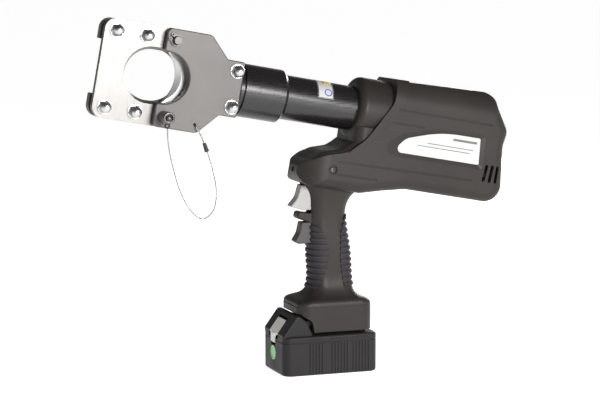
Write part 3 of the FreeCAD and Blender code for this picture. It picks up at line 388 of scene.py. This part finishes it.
def rope(name, line, radius, pitch, material, sides=6, strands=6):
    """A wire rope: strands laid round a core strand."""
    verts = []
    faces = []
    step = (line[1] - line[0]).length
    lay = [(0.0, 0.0)] + [(2 * math.pi * k / strands, radius * 2 / 3) for k in range(strands)]
    thick = radius / 3
    for phase, off in lay:
        base = len(verts)
        for i, (p, a, b) in enumerate(carried_frames(line)):
            turn = phase + 2 * math.pi * step * i / pitch
            centre = p + (a * math.cos(turn) + b * math.sin(turn)) * off
            for j in range(sides):
                t = 2 * math.pi * j / sides + turn
                verts.append(centre + (a * math.cos(t) + b * math.sin(t)) * thick)
        count = len(line)
        for i in range(count - 1):
            for j in range(sides):
                k = (j + 1) % sides
                faces.append((base + i * sides + j, base + i * sides + k,
                              base + (i + 1) * sides + k, base + (i + 1) * sides + j))
        faces.append(tuple(base + j for j in reversed(range(sides))))
        faces.append(tuple(base + (count - 1) * sides + j for j in range(sides)))
    return add_piece(name, verts, faces, material, None)


WIRE_RADIUS = 0.00075
WIRE_PITCH = 0.007
WIRE_STEP = 0.0006
WIRE_ROUTE = [
    (-193.3, -45.9, 284.9),
    (-192.6, -44.6, 268.0),
    (-185.4, -39.0, 241.0),
    (-175.6, -34.0, 212.5),
    (-162.8, -31.5, 191.0),
    (-149.0, -31.0, 181.0),
    (-135.8, -31.0, 191.5),
    (-132.8, -31.0, 213.0),
    (-137.4, -31.0, 236.5),
    (-143.4, -31.0, 256.0),
    (-148.6, -31.0, 270.0),
    (-153.1, -31.0, 279.4),
    (-156.4, -31.0, 285.6),
    (-156.8, -26.0, 287.2),
]
wire_points = [tuple(c / 1000.0 for c in p) for p in WIRE_ROUTE]
wire_line = even(smooth_line("wire_line", wire_points), WIRE_STEP)
wire = rope("lanyard_wire_rope", wire_line, WIRE_RADIUS, WIRE_PITCH, WIREST)
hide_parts("lanyard_wire")
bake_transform(wire)

# a copy of the return spring rides on the ram
coil = bpy.data.objects.new("return_spring_coil", nodes["return_spring"].data.copy())
coil.matrix_world = nodes["return_spring"].matrix_world
bpy.context.scene.collection.objects.link(coil)
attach(coil, "ram")
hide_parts("return_spring")
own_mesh(coil)

TUBE_R = 25.0
PATCH_THICK = 0.06
PATCH_ROWS = 12
PATCH_COLUMNS = 24
RING_STEPS = 32


def tube_patch(name, u0, u1, low, high, lift, material):
    """A thin rectangle wrapped on the cylinder tube; low and high are degrees above level."""
    verts = []
    faces = []
    rows = PATCH_ROWS
    across = PATCH_COLUMNS
    for side in (0.0, PATCH_THICK):
        for i in range(rows + 1):
            for j in range(across + 1):
                a = math.radians(low + (high - low) * j / across)
                r = TUBE_R + lift + side
                verts.append(barrel(u0 + (u1 - u0) * i / rows, -r * math.cos(a), r * math.sin(a)))
    row = across + 1
    size = (rows + 1) * row
    for i in range(rows):
        for j in range(across):
            q = i * row + j
            faces.append((q, q + row, q + row + 1, q + 1))
            faces.append((size + q, size + q + 1, size + q + row + 1, size + q + row))
    edge = list(range(row))
    edge += [i * row + across for i in range(1, rows + 1)]
    edge += [rows * row + j for j in range(across - 1, -1, -1)]
    edge += [i * row for i in range(rows - 1, 0, -1)]
    for a, b in zip(edge, edge[1:] + edge[:1]):
        faces.append((a, b, size + b, size + a))
    return add_piece(name, verts, faces, material, "housing")


def tube_ring(name, u, degrees, outer, inner, lift, material):
    """A flat ring printed on the tube."""
    verts = []
    faces = []
    height = TUBE_R + lift
    for k in range(RING_STEPS):
        t = 2 * math.pi * k / RING_STEPS
        for r in (outer, inner):
            a = math.radians(degrees) + r * math.sin(t) / TUBE_R
            verts.append(barrel(u + r * math.cos(t), -height * math.cos(a), height * math.sin(a)))
    for k in range(RING_STEPS):
        n = (k + 1) % RING_STEPS
        faces.append((2 * k, 2 * n, 2 * n + 1, 2 * k + 1))
    return add_piece(name, verts, faces, material, "housing")


YELLOW = plastic("print_yellow", (0.75, 0.48, 0.08), 0.4, 2500.0, 0.00001, 0.03)
BLUE = plastic("print_blue", (0.03, 0.07, 0.45), 0.4, 2500.0, 0.00001, 0.03)
tube_patch("tube_sticker", 194.5, 214.0, 15.0, 92.0, 0.02, WHITE)
tube_patch("tube_sticker_band", 203.0, 212.0, 62.0, 84.0, 0.09, YELLOW)
tube_ring("tube_sticker_ring", 207.5, 33.0, 4.6, 3.4, 0.12, BLUE)


PRINT_OUT = -37.76
PRINT_IN = -37.6


def plate_bar(name, u0, u1, w0, w1):
    """A thin printed bar on the name plate."""
    corners = [(u0, w0), (u1, w0), (u1, w1), (u0, w1)]
    verts = [barrel(u, y, w) for y in (PRINT_OUT, PRINT_IN) for u, w in corners]
    faces = [(0, 1, 2, 3), (7, 6, 5, 4)]
    faces += [(k, k + 4, (k + 1) % 4 + 4, (k + 1) % 4) for k in range(4)]
    return add_piece(name, verts, faces, PRINT, "housing", False)


plate_bar("plate_print_top", 361.0, 391.0, -16.6, -14.0)
plate_bar("plate_print_middle", 330.0, 388.0, -24.4, -23.6)
plate_bar("plate_print_low", 318.0, 384.0, -28.4, -27.6)

# ---------------------------------------------------------------- floor and light
FLOOR_HALF = 30.0
floor_mesh = bpy.data.meshes.new("floor")
floor_mesh.from_pydata([(-FLOOR_HALF, -FLOOR_HALF, 0), (FLOOR_HALF, -FLOOR_HALF, 0),
                        (FLOOR_HALF, FLOOR_HALF, 0), (-FLOOR_HALF, FLOOR_HALF, 0)], [], [(0, 1, 2, 3)])
floor = bpy.data.objects.new("floor", floor_mesh)
bpy.context.scene.collection.objects.link(floor)
FLOOR_GLOW = 0.88  # the floor lights itself, so that it is as white as the photograph's paper
floor_paper, _, floor_shader = new_material("floor_paper")
floor_shader.inputs["Base Color"].default_value = grey(0.8)
floor_shader.inputs["Roughness"].default_value = 0.95
floor_shader.inputs["Specular IOR Level"].default_value = 0.1
floor_shader.inputs["Emission Color"].default_value = grey(1.0)
floor_shader.inputs["Emission Strength"].default_value = FLOOR_GLOW
floor_mesh.materials.append(floor_paper)

# the sky is darker towards the head's end and towards the top
SKY_STRENGTH = 0.8
world = bpy.data.worlds.new("studio")
world.use_nodes = True
sky = world.node_tree
place = sky.nodes.new("ShaderNodeTexCoord")
split = sky.nodes.new("ShaderNodeSeparateXYZ")
sky.links.new(place.outputs["Generated"], split.inputs[0])
shade = ramp(sky, split.outputs["X"], grey(0.45), grey(1.0), 0.0, 0.5)
height = ramp(sky, split.outputs["Z"], grey(1.0), grey(0.12), 0.1, 0.55)
sky.links.new(times(sky, shade, height), sky.nodes["Background"].inputs["Color"])
sky.nodes["Background"].inputs["Strength"].default_value = SKY_STRENGTH
bpy.context.scene.world = world
bpy.context.scene.view_settings.view_transform = "Standard"


LIT_POINT = Vector((0, 0, 0.24))


def softbox(name, place, size, power):
    """A rectangular studio light aimed at the middle of the tool."""
    data = bpy.data.lights.new(name, "AREA")
    data.shape = "RECTANGLE"
    data.size, data.size_y = size
    data.energy = power
    lamp = bpy.data.objects.new(name, data)
    lamp.location = place
    lamp.rotation_euler = (LIT_POINT - Vector(place)).to_track_quat("-Z", "Y").to_euler()
    bpy.context.scene.collection.objects.link(lamp)


softbox("key", (0.25, -2.2, 0.75), (0.8, 0.5), 58)
softbox("far_fill", (1.5, 1.8, 0.5), (1.0, 0.8), 24)
